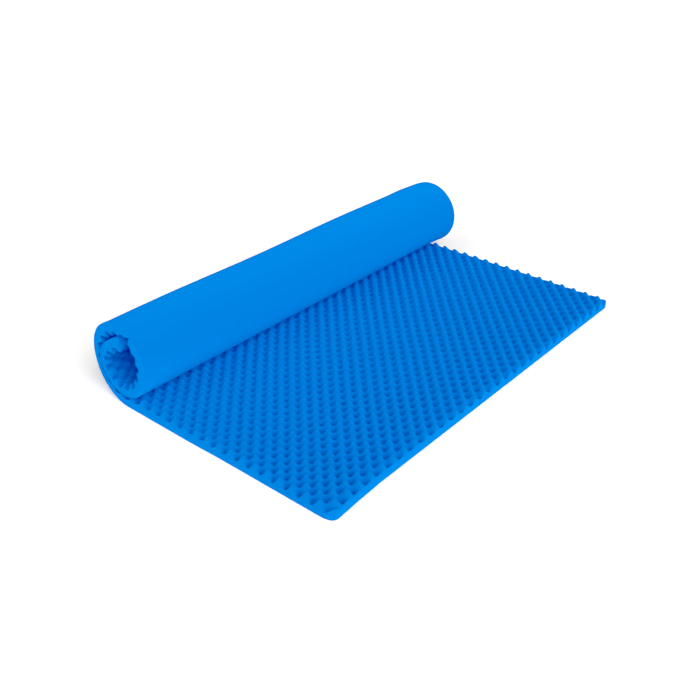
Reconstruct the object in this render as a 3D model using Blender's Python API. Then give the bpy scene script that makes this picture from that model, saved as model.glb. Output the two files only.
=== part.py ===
"""Egg-crate foam mattress topper, one cut sheet, partly rolled up.

X runs along the roll, Y from the free edge towards the roll, Z up from the floor.
The smooth back lies on the floor and outside on the roll, and the bumps face up and inwards.
"""
import math

import bmesh
import bpy

# Driving sizes in metres
WIDTH = 1.600              # across the sheet, along the roll
LENGTH = 1.950             # cut length of the flat sheet
THICKNESS = 0.050          # floor to bump tip, uncompressed
BASE = 0.016               # solid foam under a valley
PITCH_X = 0.0518           # bump to bump across the sheet
PITCH_Y = 0.0491           # bump to bump along the sheet
NEUTRAL_DEPTH = 0.0060     # layer of the base that keeps its length when rolled, from the back
CORNER_RADIUS = 0.028      # of the sheet's four corners, seen from above

# How the cut edges pass the bump rows
ROW_INSET = 0.010          # first row of valleys behind the free edge
COLUMN_DRIFT = 0.0115      # first column of valleys behind the near edge, in the roll
DRIFT_START = 0.12         # along the sheet, where that column starts to leave the edge
DRIFT_END = 1.25           # and where it has reached its full distance
EDGE_MARGIN = 0.005        # no grid line comes closer to a cut edge than this
BOW = 0.0115               # how far the free edge stands out at its near corner
BOW_WIDTH = 0.210          # length of free edge that bows out
BOW_DEPTH = 0.030          # how far along the sheet it is felt
FAR_TOE = 0.008            # height of the far edge, which is cut on a slant
FAR_RISE = 1.25            # and how steeply the slant rises inwards

# Spiral of the smooth back, from the flat run to the end inside the roll
ROLL_ARCS = (
    # name,          radius, sweep in degrees
    ("lift-off",     0.1411, 70.0),
    ("side",         0.1806, 30.0),
    ("outer turn",   0.1258, 240.5),
    ("inner, lower", 0.1050, 97.0),
    ("inner, bend",  0.0832, 61.0),
    ("inner, end",   0.2670, 24.6),
)
ROW_CREEP = 0.013          # how far the stretched foam carries the bump rows on in the roll
CREEP_START = 1.38         # along the sheet, where they start to move
CREEP_END = 1.62           # and where they have moved all that way

# How the foam gives way where the turns bear on each other
TURN_CLEARANCE = 0.0018    # left between a squeezed bump and the turn that bears on it
SOFT_SHARE = 0.60          # share of the height that a fully squeezed sheet loses all over
END_REACH = 0.040          # how far past its own end the inner turn still holds the outer one down

# The far end of the roll sags towards the free edge
FAR_REACH = 0.060          # length of roll over which it does so
FAR_LEAN = 0.0055          # towards the free edge
FAR_SAG = 0.003            # downwards
LEAN_START = 0.035         # height above the floor at which the lean starts
LEAN_FULL = 0.120          # and at which it is whole, and the sag starts

FOAM_BLUE = (0.0, 0.235, 0.78, 1.0)


def smooth_step(value, start, end):
    """Ease from 0 at start to 1 at end."""
    share = min(max((value - start) / (end - start), 0.0), 1.0)
    return share * share * (3.0 - 2.0 * share)


def roll_spiral():
    """Work out each arc of the back: its centre, radius, headings and place along the sheet."""
    rolled = sum((radius - NEUTRAL_DEPTH) * math.radians(sweep) for _, radius, sweep in ROLL_ARCS)
    flat_run = LENGTH - rolled
    arcs = []
    along, heading = flat_run, 0.0
    centre_y, centre_z = flat_run, 0.0
    last_radius = 0.0
    for _, radius, sweep in ROLL_ARCS:
        # The next centre lies on the line from the last centre through the joint of the two arcs
        centre_y += (last_radius - radius) * math.sin(heading)
        centre_z -= (last_radius - radius) * math.cos(heading)
        end = heading + math.radians(sweep)
        arcs.append({"start": along, "y": centre_y, "z": centre_z, "radius": radius,
                     "heading": heading, "end": end})
        along += (radius - NEUTRAL_DEPTH) * (end - heading)
        heading, last_radius = end, radius
    return flat_run, arcs


def bow(x):
    """How far the free edge stands out beyond its straight line."""
    share = max(0.0, 1.0 - (x + 0.5 * WIDTH) / BOW_WIDTH)
    return BOW * share ** 1.5


FLAT_RUN, SPIRAL = roll_spiral()
ROLL_BACK = SPIRAL[1]["y"] + SPIRAL[1]["radius"]
ROLL_TOP = SPIRAL[2]["z"] + SPIRAL[2]["radius"]
MIDDLE_Y = 0.5 * (ROLL_BACK - bow(CORNER_RADIUS - 0.5 * WIDTH))


def back_frame(along):
    """Point of the back at a length along the sheet, and the heading of the sheet there."""
    if along <= FLAT_RUN:
        return along, 0.0, 0.0
    arc = [arc for arc in SPIRAL if arc["start"] <= along][-1]
    heading = arc["heading"] + (along - arc["start"]) / (arc["radius"] - NEUTRAL_DEPTH)
    y = arc["y"] + arc["radius"] * math.sin(heading)
    z = arc["z"] - arc["radius"] * math.cos(heading)
    return y, z, heading


def room_above(along):
    """Distance from the back, through the bumps, to the next turn of the roll."""
    y, z, heading = back_frame(along)
    normal_y, normal_z = -math.sin(heading), math.cos(heading)
    room = 1.0
    for arc in SPIRAL:
        offset_y, offset_z = y - arc["y"], z - arc["z"]
        half_b = offset_y * normal_y + offset_z * normal_z
        root = half_b ** 2 - (offset_y ** 2 + offset_z ** 2 - arc["radius"] ** 2)
        if root <= 0.0:
            continue
        last_heading = arc["end"]
        if arc is SPIRAL[-1]:
            last_heading += END_REACH / arc["radius"]
        for distance in (-half_b - math.sqrt(root), -half_b + math.sqrt(root)):
            hit_y = offset_y + distance * normal_y
            hit_z = offset_z + distance * normal_z
            hit_heading = math.atan2(hit_y, -hit_z)
            turns = math.ceil((arc["heading"] - hit_heading) / math.tau)
            on_arc = hit_heading + turns * math.tau <= last_heading
            if distance > 0.5 * BASE and on_arc:
                room = min(room, distance)
    return room


def creep(row):
    """Place along the sheet to which a row of the even bump pattern has moved."""
    return row + ROW_CREEP * smooth_step(row, CREEP_START, CREEP_END)


def column_drift(row):
    """Distance from the near edge to the first column of valleys."""
    return COLUMN_DRIFT * smooth_step(row, DRIFT_START, DRIFT_END)


def foam_height(x, row, room):
    """Thickness of the sheet: egg-crate bumps, squeezed where another turn bears on them."""
    wave_x = math.cos(math.tau * (x + 0.5 * WIDTH - column_drift(row)) / PITCH_X)
    wave_y = math.cos(math.tau * (row - ROW_INSET) / PITCH_Y)
    free = BASE + (THICKNESS - BASE) * 0.5 * (1.0 - wave_x * wave_y)
    squeezed = min(max((room - TURN_CLEARANCE) / THICKNESS, 0.0), 1.0)
    soft = free * (1.0 - SOFT_SHARE * (1.0 - squeezed))
    slant = FAR_TOE + FAR_RISE * (0.5 * WIDTH - x)
    return min(soft, slant, room - TURN_CLEARANCE)


def place(x, along, height):
    """Point of the sheet in space, from its place on the flat sheet and its height."""
    y, z, heading = back_frame(along)
    y -= height * math.sin(heading)
    z += height * math.cos(heading)
    far_end = smooth_step(x, 0.5 * WIDTH - FAR_REACH, 0.5 * WIDTH)
    y -= FAR_LEAN * far_end * smooth_step(z, LEAN_START, LEAN_FULL)
    z -= FAR_SAG * far_end * smooth_step(z, LEAN_FULL, ROLL_TOP)
    y -= bow(x) * (1.0 - smooth_step(along, 0.0, BOW_DEPTH))
    return x, y - MIDDLE_Y, z


def grid_columns(row):
    """X of each grid column: both edges, and every bump and valley between them."""
    inside = 0.5 * WIDTH - EDGE_MARGIN
    count = int(WIDTH / (0.5 * PITCH_X)) + 1
    start = -0.5 * WIDTH + column_drift(row)
    columns = [start + 0.5 * PITCH_X * step for step in range(count)]
    columns = [min(max(x, -inside), inside) for x in columns]
    return [-0.5 * WIDTH] + columns + [0.5 * WIDTH]


def grid_rows():
    """Grid rows of the even bump pattern: both ends, and every bump and valley between."""
    last = LENGTH - ROW_CREEP
    count = int((last - ROW_INSET) / (0.5 * PITCH_Y)) + 1
    return [0.0] + [ROW_INSET + 0.5 * PITCH_Y * step for step in range(count)] + [last]


def round_corner(x, along):
    """Draw the square corners of the sheet in to round ones."""
    end_distance = min(along, LENGTH - along)
    outward_x = max(0.0, 1.0 - (0.5 * WIDTH - abs(x)) / CORNER_RADIUS)
    outward_y = max(0.0, 1.0 - end_distance / CORNER_RADIUS)
    pull_x = CORNER_RADIUS * outward_x * (1.0 - math.sqrt(1.0 - 0.5 * outward_y ** 2))
    pull_y = CORNER_RADIUS * outward_y * (1.0 - math.sqrt(1.0 - 0.5 * outward_x ** 2))
    x -= math.copysign(pull_x, x)
    along += pull_y if along < 0.5 * LENGTH else -pull_y
    return x, along


def add_bumps(mesh):
    """Make the bumpy side: one point for each bump and each valley."""
    points = []
    for row in grid_rows():
        line = []
        for column in grid_columns(row):
            x, along = round_corner(column, creep(row))
            height = foam_height(x, row, room_above(along))
            line.append(mesh.verts.new(place(x, along, height)))
        points.append(line)
    for row, (line, following) in enumerate(zip(points, points[1:])):
        for column in range(len(line) - 1):
            a, b = line[column], line[column + 1]
            c, d = following[column + 1], following[column]
            # The fold of each square joins its two bumps
            if (row + column) % 2 == 0:
                mesh.faces.new((a, b, d))
                mesh.faces.new((b, c, d))
            else:
                mesh.faces.new((a, b, c))
                mesh.faces.new((a, c, d))
    return points


def add_back(mesh):
    """Make the smooth back, in strips that part where a corner, the bow or the lean begins."""
    near = [0.0, CORNER_RADIUS, 0.5 * BOW_WIDTH, BOW_WIDTH]
    far = [WIDTH - FAR_REACH, WIDTH - CORNER_RADIUS, WIDTH]
    points = []
    for row in grid_rows():
        line = []
        for inset in near + far:
            x, along = round_corner(inset - 0.5 * WIDTH, creep(row))
            line.append(mesh.verts.new(place(x, along, 0.0)))
        points.append(line)
    for line, following in zip(points, points[1:]):
        for column in range(len(line) - 1):
            mesh.faces.new((line[column], following[column],
                            following[column + 1], line[column + 1]))
    return points


def add_edges(mesh, top, back):
    """Close the sheet round its four cut edges."""
    for row in range(len(top) - 1):
        mesh.faces.new((back[row][0], top[row][0], top[row + 1][0], back[row + 1][0]))
        mesh.faces.new((back[row][-1], back[row + 1][-1], top[row + 1][-1], top[row][-1]))
    mesh.faces.new(back[0] + top[0][::-1])
    mesh.faces.new(back[-1][::-1] + top[-1])


def foam_material():
    """Bright blue open-cell foam, dull all over."""
    material = bpy.data.materials.new("blue_foam")
    material.use_nodes = True
    shader = material.node_tree.nodes["Principled BSDF"]
    shader.inputs["Base Color"].default_value = FOAM_BLUE
    shader.inputs["Roughness"].default_value = 0.95
    shader.inputs["Metallic"].default_value = 0.0
    return material


def make_topper():
    """Build the whole sheet as one closed body."""
    mesh = bmesh.new()
    top = add_bumps(mesh)
    back = add_back(mesh)
    add_edges(mesh, top, back)
    bmesh.ops.recalc_face_normals(mesh, faces=mesh.faces)
    bmesh.ops.triangulate(mesh, faces=mesh.faces)
    data = bpy.data.meshes.new("foam_topper")
    mesh.to_mesh(data)
    mesh.free()
    data.materials.append(foam_material())
    topper = bpy.data.objects.new("foam_topper", data)
    bpy.context.scene.collection.objects.link(topper)
    return topper


for item in list(bpy.data.objects):
    bpy.data.objects.remove(item, do_unlink=True)
make_topper()
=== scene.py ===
import math

import bpy
import numpy as np
from mathutils import Matrix, Vector


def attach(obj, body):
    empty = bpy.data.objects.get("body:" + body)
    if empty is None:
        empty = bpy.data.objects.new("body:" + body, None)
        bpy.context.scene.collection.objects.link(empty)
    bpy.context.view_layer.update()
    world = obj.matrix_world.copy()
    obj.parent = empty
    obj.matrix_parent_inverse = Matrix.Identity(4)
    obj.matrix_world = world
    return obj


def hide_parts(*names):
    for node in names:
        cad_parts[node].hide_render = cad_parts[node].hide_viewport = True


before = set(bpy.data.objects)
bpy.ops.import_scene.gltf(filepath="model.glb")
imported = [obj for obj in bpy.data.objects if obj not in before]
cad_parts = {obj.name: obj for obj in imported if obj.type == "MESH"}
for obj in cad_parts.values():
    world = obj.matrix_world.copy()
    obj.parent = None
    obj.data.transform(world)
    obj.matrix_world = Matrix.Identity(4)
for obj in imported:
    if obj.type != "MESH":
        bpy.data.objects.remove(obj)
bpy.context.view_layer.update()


# the cut sheet, in metres; the near edge is the one at the low end of X
sheet = {
    "width": 1.600,            # across, along the roll
    "length": 1.9342,          # cut length, laid out flat
    "thickness": 0.050,        # back to bump tip
    "base": 0.010,             # foam left under the deepest of a valley
    "fullness": 0.80,          # under 1 makes the bumps broad and the pits between them narrow
    "pitchX": 0.0518,          # bump to bump across
    "pitchY": 0.0491,          # bump to bump along
    "neutralDepth": 0.0060,    # the layer that keeps its length when rolled
    "cornerRadius": 0.028,     # of the four corners, from above
    "edgeRounding": 0.0022,    # of the cut edges
    "rowInset": 0.010,         # first valleys behind the free edge
    "columnDrift": 0.010,      # first valleys behind the near edge, in the roll
    "driftStart": 0.12,        # where the near cut starts to leave the valleys
    "driftEnd": 1.15,          # and where it has fully left them
    "driftBlend": 0.030,       # how far in from a side edge the mesh follows the drift
    "bow": 0.0115,             # how far the free edge stands out at its near corner
    "bowWidth": 0.235,         # how far along the edge that reaches
    "bowCurve": 1.5,           # 1 is a straight slant
    "bowDepth": 0.030,         # how far in from the edge it reaches
    "freeStray": 0.0028,       # the free edge was cut wide all along
    "freeSkew": 0.0012,        # and a little more so towards that corner
    "nearStray": 0.0026,       # the near edge was cut wide too
    "strayStart": 0.40,        # from here on
    "strayFull": 0.56,
    "strayInRoll": 0.0015,     # less so in the roll
    "strayFade": 0.10,         # length over which that changes
    "farToe": 0.008,           # the far edge is cut on a slant: height left at the edge
    "farRise": 1.25,           # and how steeply it rises inwards
    "unevenness": 0.0008,      # how far a bump strays from its row
    "undulation": 0.0006,      # how far the bumpy face swells and sinks
    "warpMiddle": 0.35,        # the row from which the table below counts
    "warpLast": 0.70,          # the last row that it tells of
    "warpGone": 0.95,          # in the roll the rows run true again
}
halfWidth = 0.5 * sheet["width"]

# how the lattice of bumps strays from an even one, in metres:
# power of X, power of the row, shift in X, shift along
latticeWarp = (
    (0, 0, -0.0030, -0.0009),
    (1, 0, 0.0013, -0.0006),
    (0, 1, 0.0009, 0.0007),
    (2, 0, 0.0203, 0.0007),
    (1, 1, 0.0080, 0.0191),
    (0, 2, -0.0144, 0.0046),
)

# the roll, in metres; lengths such as creepStart are measured along the sheet
roll = {
    "arcs": (                  # radius of the back and sweep in degrees, from the floor inwards
        (0.1411, 70.0),
        (0.1806, 30.0),
        (0.1258, 240.5),
        (0.1050, 97.0),
        (0.0832, 61.0),
        (0.2670, 21.13),
    ),
    "openRoom": 1.0,           # room over foam that no other turn lies above
    "turnClearance": 0.0010,   # left between two turns
    "softShare": 0.60,         # height that fully squeezed foam loses all over
    "contactBlend": 0.0050,    # how softly a bump flattens against the next turn
    "endReach": 0.055,         # how far past its end the inner turn holds the outer one down
    "rowCreep": 0.013,         # how far the bump rows have crept along by the inner turn
    "creepStart": 1.38,
    "creepEnd": 1.62,
    "nearSlip": 0.003,         # how far the inner turn has slid out at the near end
    "nearBulge": 0.008,        # and how much further its crowded bump side stands out
    "slipStart": 1.10,
    "slipFull": 1.65,
    "slipReach": 0.08,         # length of roll that it has pulled along
    "farReach": 0.060,         # length of roll over which the far end sags
    "farLean": 0.0100,         # how far it leans towards the flat part
    "farSag": 0.0030,          # and how far its top sinks
    "leanStart": 0.035,        # height above which it leans
    "leanFull": 0.090,
    "leanFront": (1.30, 1.44),  # the turn that bears on the flat part leans down to its foot
    "waveMean": -0.0010,       # slow swell of the roll along its length, off its radius
    "waveSwing": 0.0018,
    "wavePitch": 0.85,
    "waveCrest": 0.29,         # X of one swell
    "waveNearFade": 0.03,      # both ends keep to their own radius
    "waveFarFade": 0.25,
    "waveHeight": (0.05, 0.15),  # heights between which the swell sets in
}

# how fine the mesh is
detail = {
    "acrossPitch": 8,          # columns to a bump
    "alongPitchFlat": 10,      # rows to a bump where it lies flat
    "alongPitchRolled": 6,     # rows to a bump in the roll
    "backEvery": 14,           # the plain back takes one column in so many
    "edgeTurns": (0.0, 30.0, 60.0),  # where the rounding of a cut edge is drawn, in degrees
    "edgeClear": 1.5,          # no other row or column nearer to an edge, in roundings
}


def smoothStep(value, start, end):
    share = np.clip((value - start) / (end - start), 0.0, 1.0)
    return share * share * (3.0 - 2.0 * share)


def softMin(a, b, blend):
    # the smaller of two, without a crease where they cross
    share = np.clip(0.5 + 0.5 * (b - a) / blend, 0.0, 1.0)
    return b * (1.0 - share) + a * share - blend * share * (1.0 - share)


def rollSpiral():
    # every arc starts where the last one ends, and runs on without a kink
    rolled = sum((radius - sheet["neutralDepth"]) * math.radians(sweep)
                 for radius, sweep in roll["arcs"])
    flatRun = sheet["length"] - rolled
    along, heading, lastRadius = flatRun, 0.0, 0.0
    centreY, centreZ = flatRun, 0.0
    arcs = []
    for radius, sweep in roll["arcs"]:
        centreY += (lastRadius - radius) * math.sin(heading)
        centreZ -= (lastRadius - radius) * math.cos(heading)
        end = heading + math.radians(sweep)
        arcs.append({"start": along, "y": centreY, "z": centreZ, "radius": radius,
                     "heading": heading, "end": end})
        along += (radius - sheet["neutralDepth"]) * (end - heading)
        heading, lastRadius = end, radius
    return flatRun, arcs


def bow(x):
    # how far the free edge stands out at its near corner
    share = np.clip(1.0 - (x + halfWidth) / sheet["bowWidth"], 0.0, 1.0)
    return sheet["bow"] * share ** sheet["bowCurve"]


flatRun, spiral = rollSpiral()
rollBack = spiral[1]["y"] + spiral[1]["radius"]
rollTop = spiral[2]["z"] + spiral[2]["radius"]
middleY = 0.5 * (rollBack - bow(sheet["cornerRadius"] - halfWidth))


def backFrame(along):
    # where the back is at lengths along the sheet, and how steep
    arc = {name: np.array([row[name] for row in spiral]) for name in spiral[0]}
    index = np.maximum(np.searchsorted(arc["start"], along, side="right") - 1, 0)
    radius = arc["radius"][index]
    turn = (along - arc["start"][index]) / (radius - sheet["neutralDepth"])
    heading = np.where(along > flatRun, arc["heading"][index] + turn, 0.0)
    y = np.where(along > flatRun, arc["y"][index] + radius * np.sin(heading), along)
    z = np.where(along > flatRun, arc["z"][index] - radius * np.cos(heading), 0.0)
    return y, z, heading


def roomAbove(along):
    # how far the next turn of the roll is, straight up through the bumps
    y, z, heading = backFrame(along)
    normalY, normalZ = -np.sin(heading), np.cos(heading)
    room = np.full_like(along, roll["openRoom"])
    nearest = 0.5 * sheet["base"]  # what is nearer than this is the sheet's own back
    for arc in spiral:
        offsetY, offsetZ = y - arc["y"], z - arc["z"]
        halfB = offsetY * normalY + offsetZ * normalZ
        root = halfB ** 2 - (offsetY ** 2 + offsetZ ** 2 - arc["radius"] ** 2)
        lastHeading = arc["end"] + (roll["endReach"] / arc["radius"] if arc is spiral[-1] else 0.0)
        for side in (-1.0, 1.0):
            distance = side * np.sqrt(np.maximum(root, 0.0)) - halfB
            hit = np.arctan2(offsetY + distance * normalY, -(offsetZ + distance * normalZ))
            hit += np.ceil((arc["heading"] - hit) / math.tau) * math.tau
            meets = (root > 0.0) & (distance > nearest) & (hit <= lastHeading)
            room = np.where(meets, np.minimum(room, distance), room)
    return room


def waver(x, along, step):
    # slow unevenness of cut foam, between -1 and 1, from waves 0.25 to 0.7 m long
    first = np.sin(9.1 * x + 5.3 * along + 1.7 * step) * np.sin(4.3 * x - 7.9 * along + 0.9 * step)
    second = np.sin(17.3 * x - 11.7 * along + 2.3 * step) * np.sin(21.1 * along + 13.9 * x + step)
    return 0.6 * first + 0.4 * second


def creep(row):
    # the place along the sheet that a bump row really has, after stretching in the roll
    return row + roll["rowCreep"] * smoothStep(row, roll["creepStart"], roll["creepEnd"])


def columnDrift(along):
    # how far the valleys stand off the near edge
    return sheet["columnDrift"] * smoothStep(along, sheet["driftStart"], sheet["driftEnd"])


def nearStray(x, along):
    # how far the near edge stands out beyond its straight line
    flat = sheet["nearStray"] * smoothStep(along, sheet["strayStart"], sheet["strayFull"])
    rolled = smoothStep(along, flatRun, flatRun + sheet["strayFade"])
    stray = flat + (sheet["strayInRoll"] - sheet["nearStray"]) * rolled
    return stray * (1.0 - smoothStep(x + halfWidth, 0.0, sheet["driftBlend"]))


def bumpField(x, row):
    # 0 in a valley, 1 on a bump
    warpX = sheet["unevenness"] * waver(x, row, 1.0)
    warpY = sheet["unevenness"] * waver(x, row, 2.0)
    held = 1.0 - smoothStep(row, sheet["warpLast"], sheet["warpGone"])
    fromMiddle = np.minimum(row, sheet["warpLast"]) - sheet["warpMiddle"]
    for powerX, powerY, shiftX, shiftY in latticeWarp:
        warpX = warpX - shiftX * held * x ** powerX * fromMiddle ** powerY
        warpY = warpY - shiftY * held * x ** powerX * fromMiddle ** powerY
    fromNearEdge = x + halfWidth - columnDrift(row) + warpX
    fromFreeEdge = row - sheet["rowInset"] + warpY
    waveX = np.cos(math.tau * fromNearEdge / sheet["pitchX"])
    waveY = np.cos(math.tau * fromFreeEdge / sheet["pitchY"])
    return (0.5 * (1.0 - waveX * waveY)) ** sheet["fullness"]


def foamHeight(x, row, room):
    # thickness of the sheet, squeezed where another turn bears on it
    rise = sheet["thickness"] - sheet["base"]
    free = sheet["base"] + rise * bumpField(x, row) + sheet["undulation"] * waver(x, row, 3.0)
    limit = room - roll["turnClearance"]
    squeezed = np.clip(limit / sheet["thickness"], 0.0, 1.0)
    soft = free * (1.0 - roll["softShare"] * (1.0 - squeezed))
    soft = softMin(soft, limit, roll["contactBlend"])
    soft = np.where(room < roll["openRoom"], soft, free)
    slant = sheet["farToe"] + sheet["farRise"] * (halfWidth - x)
    return softMin(soft, slant, roll["contactBlend"])


def roundPlan(x, along):
    # draw the square corners in to round ones, as a square is mapped to a disc
    radius = sheet["cornerRadius"]
    endDistance = np.minimum(along, sheet["length"] - along)
    outX = np.clip(1.0 - (halfWidth - np.abs(x)) / radius, 0.0, 1.0)
    outY = np.clip(1.0 - endDistance / radius, 0.0, 1.0)
    pullX = radius * outX * (1.0 - np.sqrt(1.0 - 0.5 * outY ** 2))
    pullY = radius * outY * (1.0 - np.sqrt(1.0 - 0.5 * outX ** 2))
    roundX = x - np.sign(x) * pullX
    return roundX, along + np.where(along < 0.5 * sheet["length"], pullY, -pullY)


def edgeFall(x, along):
    # how far a rounded cut edge falls away, before the corners are drawn in
    radius = sheet["edgeRounding"]
    gap = np.minimum(halfWidth - np.abs(x), np.minimum(along, sheet["length"] - along))
    inside = np.clip(1.0 - gap / radius, 0.0, 1.0)
    return radius * (1.0 - np.sqrt(np.clip(1.0 - inside ** 2, 0.0, 1.0)))


def rollSwell(x, z):
    # share by which the roll is thicker or thinner at a place along it
    turn = math.tau * (x - roll["waveCrest"]) / roll["wavePitch"]
    swell = roll["waveMean"] + roll["waveSwing"] * np.cos(turn)
    swell = swell * smoothStep(x, -halfWidth, -halfWidth + roll["waveNearFade"])
    swell = swell * (1.0 - smoothStep(x, halfWidth - roll["waveFarFade"], halfWidth))
    return swell * smoothStep(z, *roll["waveHeight"]) / spiral[2]["radius"]


def placePoints(x, along, height):
    # from the flat sheet to the rolled one
    slip = roll["nearSlip"] + roll["nearBulge"] * height / sheet["thickness"]
    slip = slip * smoothStep(along, roll["slipStart"], roll["slipFull"])
    y, z, heading = backFrame(along)
    y = y - height * np.sin(heading)
    z = z + height * np.cos(heading)
    # the far end of the roll
    farEnd = smoothStep(x, halfWidth - roll["farReach"], halfWidth)
    lean = smoothStep(z, roll["leanStart"], roll["leanFull"])
    lean = np.maximum(lean, smoothStep(along, *roll["leanFront"]))
    y = y - roll["farLean"] * farEnd * lean
    z = z - roll["farSag"] * farEnd * smoothStep(z, roll["leanFull"], rollTop)
    # the free edge
    freeStray = sheet["freeStray"] - sheet["freeSkew"] * x
    y = y - (bow(x) + freeStray) * (1.0 - smoothStep(along, 0.0, sheet["bowDepth"]))
    # the roll's own swell, and its inner turn slid out
    swell = rollSwell(x, z)
    y = y + swell * (y - spiral[2]["y"])
    z = z + swell * (z - spiral[2]["z"])
    x = x - slip * (1.0 - smoothStep(x + halfWidth, 0.0, roll["slipReach"]))
    return np.stack([x, y - middleY, z], axis=-1)


def edgeGaps():
    # distances from a cut edge that draw its rounding
    return [sheet["edgeRounding"] * (1.0 - math.cos(math.radians(turn)))
            for turn in detail["edgeTurns"]]


def latticeSteps(start, end, pitch, count, first):
    # evenly spaced places that hit every bump and valley, clear of both ends
    step = pitch / count
    low = math.ceil((start - first) / step - 1e-6)
    high = math.floor((end - first) / step + 1e-6)
    return [first + step * number for number in range(low, high + 1)]


def gridColumns():
    clear = detail["edgeClear"] * sheet["edgeRounding"]
    middle = latticeSteps(clear - halfWidth, halfWidth - clear,
                          sheet["pitchX"], detail["acrossPitch"], -halfWidth)
    nearEdge = [gap - halfWidth for gap in edgeGaps()]
    return nearEdge + middle + [halfWidth - gap for gap in edgeGaps()[::-1]]


def gridRows():
    clear = detail["edgeClear"] * sheet["edgeRounding"]
    pitch, first = sheet["pitchY"], sheet["rowInset"]
    flat = latticeSteps(clear, flatRun, pitch, detail["alongPitchFlat"], first)
    start = flat[-1] + pitch / detail["alongPitchRolled"]
    end = sheet["length"] - roll["rowCreep"]
    rolled = latticeSteps(start, end - clear, pitch, detail["alongPitchRolled"], first)
    return edgeGaps() + flat + rolled + [end - gap for gap in edgeGaps()[::-1]]


def makeSide(columns, rows, bumpy):
    # one face of the sheet as rows of points
    row, x = np.meshgrid(np.array(rows), np.array(columns), indexing="ij")
    along = creep(row)
    # the columns follow the bumps, but stay put at both side edges
    inside = smoothStep(halfWidth - np.abs(x), 0.0, sheet["driftBlend"])
    x = x + columnDrift(along) * inside
    fall = edgeFall(x, along)
    x = x - nearStray(x, along)
    height = foamHeight(x, row, roomAbove(along[:, :1])) - fall if bumpy else fall
    return placePoints(*roundPlan(x, along), height)


def backColumns(columns):
    # all columns near a side edge, where the corners are round, and few between them
    edge = [i for i, x in enumerate(columns) if halfWidth - abs(x) < sheet["cornerRadius"]]
    half = len(edge) // 2
    return sorted(set(edge) | set(range(edge[half - 1], edge[half], detail["backEvery"])))


def loopFaces(lower, upper):
    # quads between two rows of points
    corners = zip(lower[:-1], lower[1:], upper[1:], upper[:-1])
    return [[int(a), int(b), int(c), int(d)] for a, b, c, d in corners]


def endFaces(outer, inner, taken):
    # an end row of the back joins every column of the cut edge to the few of the back
    faces = []
    for start, end in zip(taken[:-1], taken[1:]):
        face = [int(i) for i in outer[start:end + 1]]
        faces.append(face + [int(inner[end]), int(inner[start])])
    return faces


def dropUnused(points, faces):
    used = np.unique(np.concatenate([np.array(face) for face in faces]))
    renumber = np.full(len(points), -1)
    renumber[used] = np.arange(len(used))
    return points[used].tolist(), [[int(renumber[i]) for i in face] for face in faces]


def makeTopper():
    print("topper: bumpy side")
    rows, columns = gridRows(), gridColumns()
    top = makeSide(columns, rows, True)
    print("topper: back and cut edges")
    taken = backColumns(columns)
    back = makeSide(columns, rows, False)
    points = np.concatenate([top.reshape(-1, 3), back.reshape(-1, 3)])
    topIndex = np.arange(top.shape[0] * top.shape[1]).reshape(top.shape[:2])
    backIndex = topIndex + topIndex.size
    faces = []
    for row in range(len(rows) - 1):
        faces += loopFaces(topIndex[row], topIndex[row + 1])
        if 0 < row < len(rows) - 2:
            strip = loopFaces(backIndex[row, taken], backIndex[row + 1, taken])
            faces += [face[::-1] for face in strip]
    faces += [face[::-1] for face in endFaces(backIndex[0], backIndex[1], taken)]
    faces += endFaces(backIndex[-1], backIndex[-2], taken)
    faces += loopFaces(backIndex[0], topIndex[0])
    faces += loopFaces(topIndex[-1], backIndex[-1])
    faces += loopFaces(topIndex[:, 0], backIndex[:, 0])
    faces += loopFaces(backIndex[:, -1], topIndex[:, -1])
    points, faces = dropUnused(points, faces)
    mesh = bpy.data.meshes.new("foamSheet")
    mesh.from_pydata(points, [], faces)
    mesh.update()
    mesh.shade_smooth()
    topper = bpy.data.objects.new("foamSheet", mesh)
    bpy.context.scene.collection.objects.link(topper)
    return topper


def toLinear(hexColour):
    parts = [int(hexColour[start:start + 2], 16) / 255.0 for start in (1, 3, 5)]
    linear = (p / 12.92 if p <= 0.04045 else ((p + 0.055) / 1.055) ** 2.4 for p in parts)
    return tuple(linear) + (1.0,)


def addNode(tree, kind, settings=None, inputs=None):
    # settings are the node's own; inputs are values, or sockets to link from
    node = tree.nodes.new(kind)
    for name, value in (settings or {}).items():
        setattr(node, name, value)
    for name, value in (inputs or {}).items():
        if isinstance(value, bpy.types.NodeSocket):
            tree.links.new(value, node.inputs[name])
        else:
            node.inputs[name].default_value = value
    return node


foam = {
    "blue": "#0078b8",
    "paler": "#0079ba",
    "paintedBlueGlow": (0.0, 0.0, 0.14),  # painted light: a blue glow over all of the foam, standing in for light scattered through it into its hollows
    "poreMm": 1.4,             # open cells of the foam
    "poreDetail": 1.0,
    "poreDepth": 0.0006,       # metres
    "poreStrength": 0.15,
    "mottleMm": 35.0,          # slow change of colour through a block of foam
    "mottleDetail": 2.0,
    "roughness": 0.95,
    "diffuseRoughness": 1.0,   # torn cell walls throw light back where it came from
}


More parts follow.
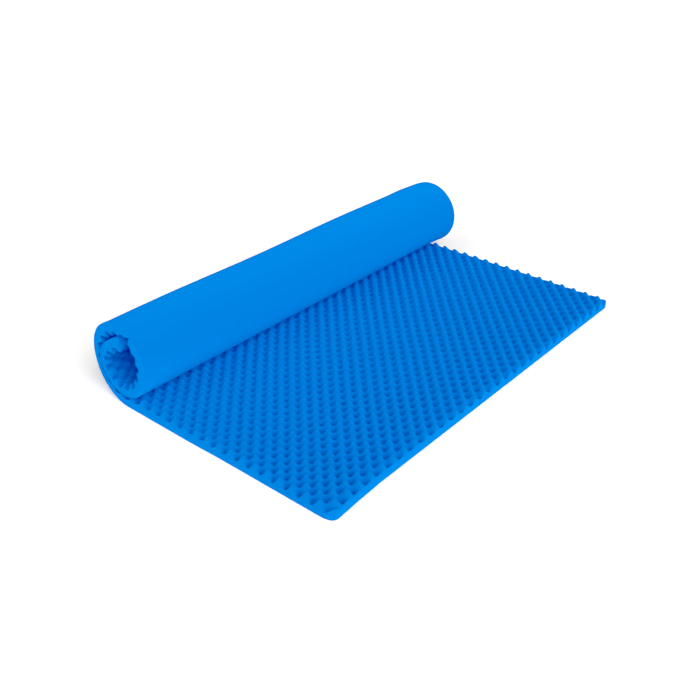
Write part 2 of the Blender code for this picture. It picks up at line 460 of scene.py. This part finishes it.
def openCellFoam():
    # polyurethane foam, blown in a block and cut: its open cells scatter the light,
    # so to the eye it is dull, even and a little soft in the shadows, which a painted blue glow
    # lifts further
    print("material: foam")
    material = bpy.data.materials.new("blueOpenCellFoam")
    material.use_nodes = True
    tree = material.node_tree
    shader = tree.nodes["Principled BSDF"]
    place = addNode(tree, "ShaderNodeTexCoord").outputs["Object"]
    pores = addNode(tree, "ShaderNodeTexNoise", None,
                    {"Vector": place, "Scale": 1000.0 / foam["poreMm"],
                     "Detail": foam["poreDetail"]})
    mottle = addNode(tree, "ShaderNodeTexNoise", None,
                     {"Vector": place, "Scale": 1000.0 / foam["mottleMm"],
                      "Detail": foam["mottleDetail"]})
    tone = addNode(tree, "ShaderNodeMix", {"data_type": "RGBA"}, {"Factor": mottle.outputs["Fac"]})
    tone.inputs[6].default_value = toLinear(foam["blue"])  # the mix's two colour sockets
    tone.inputs[7].default_value = toLinear(foam["paler"])
    relief = addNode(tree, "ShaderNodeBump", None,
                     {"Height": pores.outputs["Fac"], "Strength": foam["poreStrength"],
                      "Distance": foam["poreDepth"]})
    tree.links.new(tone.outputs[2], shader.inputs["Base Color"])
    tree.links.new(relief.outputs["Normal"], shader.inputs["Normal"])
    shader.inputs["Roughness"].default_value = foam["roughness"]
    shader.inputs["Diffuse Roughness"].default_value = foam["diffuseRoughness"]
    shader.inputs["Specular IOR Level"].default_value = 0.0
    # painted light: the foam glows blue though it is no lamp, to lift its shade
    shader.inputs["Emission Color"].default_value = foam["paintedBlueGlow"] + (1.0,)
    shader.inputs["Emission Strength"].default_value = 1.0
    return material


view = {
    "place": (-2.1951, -1.7196, 1.6312),
    "heading": 39.92,          # degrees from +X towards +Y
    "tilt": 30.63,             # degrees below level
    "bank": 0.29,
    "lens": 47.48,             # mm
    "sensor": 36.0,            # mm across
}


def makeCamera():
    print("camera")
    heading, tilt, bank = (math.radians(view[name]) for name in ("heading", "tilt", "bank"))
    forward = Vector((math.cos(tilt) * math.cos(heading), math.cos(tilt) * math.sin(heading),
                      -math.sin(tilt)))
    level = Vector((math.sin(heading), -math.cos(heading), 0.0))
    upright = level.cross(forward)
    right = level * math.cos(bank) + upright * math.sin(bank)
    up = upright * math.cos(bank) - level * math.sin(bank)
    data = bpy.data.cameras.new("camera")
    data.lens = view["lens"]
    data.sensor_width = view["sensor"]
    camera = bpy.data.objects.new("camera", data)
    turn = Matrix((right, up, -forward)).transposed().to_4x4()
    camera.matrix_world = Matrix.Translation(view["place"]) @ turn
    bpy.context.scene.collection.objects.link(camera)
    bpy.context.scene.camera = camera


studio = {
    "fill": 0.12,              # light from all round the room
    "walls": 0.88,             # what the white walls low round the room add
    "wallFade": (0.10, 0.16),  # the sines of the heights between which they darken
    "softboxes": (             # heading from +X, height and reach in degrees, strength
        (-110.0, 36.5, 33.0, 6.6),
        (160.0, 41.4, 34.0, 2.2),
    ),
    "floor": "#ffffff",
    "floorGlow": (0.19, 0.17, 0.13),
    "floorReach": 30,          # metres
    "floorDrop": 0.0005,       # below the sheet
}


def makeRoom():
    # a white room, dim above, with a strong softbox right of the camera and a weak one left of it
    world = bpy.data.worlds.new("whiteRoom")
    world.use_nodes = True
    tree = world.node_tree
    way = addNode(tree, "ShaderNodeTexCoord").outputs["Generated"]
    apart = addNode(tree, "ShaderNodeSeparateXYZ", None, {"Vector": way})
    low, high = studio["wallFade"]
    walls = addNode(tree, "ShaderNodeMapRange", {"interpolation_type": "SMOOTHSTEP"},
                    {"Value": apart.outputs["Z"], "From Min": low, "From Max": high,
                     "To Min": studio["fill"] + studio["walls"], "To Max": studio["fill"]})
    level = walls.outputs["Result"]
    for heading, height, reach, strength in studio["softboxes"]:
        turn, lift = math.radians(heading), math.radians(height)
        facing = addNode(tree, "ShaderNodeVectorMath", {"operation": "DOT_PRODUCT"})
        tree.links.new(way, facing.inputs[0])
        facing.inputs[1].default_value = (math.cos(lift) * math.cos(turn),
                                          math.cos(lift) * math.sin(turn), math.sin(lift))
        glow = addNode(tree, "ShaderNodeMapRange", {"interpolation_type": "SMOOTHSTEP"},
                       {"Value": facing.outputs["Value"], "From Max": 1.0,
                        "From Min": math.cos(math.radians(reach)),
                        "To Min": 0.0, "To Max": strength})
        total = addNode(tree, "ShaderNodeMath", {"operation": "ADD"})
        tree.links.new(glow.outputs["Result"], total.inputs[0])
        tree.links.new(level, total.inputs[1])
        level = total.outputs["Value"]
    tree.nodes["Background"].inputs["Color"].default_value = (1.0, 1.0, 1.0, 1.0)
    tree.links.new(level, tree.nodes["Background"].inputs["Strength"])
    bpy.context.scene.world = world


def makeFloor():
    reach, drop = studio["floorReach"], studio["floorDrop"]
    corners = ((-reach, -reach), (reach, -reach), (reach, reach), (-reach, reach))
    mesh = bpy.data.meshes.new("floor")
    mesh.from_pydata([(x, y, -drop) for x, y in corners], [], [(0, 1, 2, 3)])
    floor = bpy.data.objects.new("floor", mesh)
    bpy.context.scene.collection.objects.link(floor)
    # matt white paint, glowing a little, so that it reads as one plain white ground
    paint = bpy.data.materials.new("whiteFloor")
    paint.use_nodes = True
    shader = paint.node_tree.nodes["Principled BSDF"]
    shader.inputs["Base Color"].default_value = toLinear(studio["floor"])
    shader.inputs["Roughness"].default_value = 1.0
    shader.inputs["Specular IOR Level"].default_value = 0.0
    shader.inputs["Emission Color"].default_value = studio["floorGlow"] + (1.0,)
    shader.inputs["Emission Strength"].default_value = 1.0
    mesh.materials.append(paint)


def makeStudio():
    print("studio: room and floor")
    makeRoom()
    makeFloor()
    bpy.context.scene.view_settings.view_transform = "Standard"


makeCamera()
topper = makeTopper()
topper.data.materials.append(openCellFoam())
print("foam", len(topper.data.polygons), "faces")
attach(topper, "root")
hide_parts("foam_topper")
makeStudio()
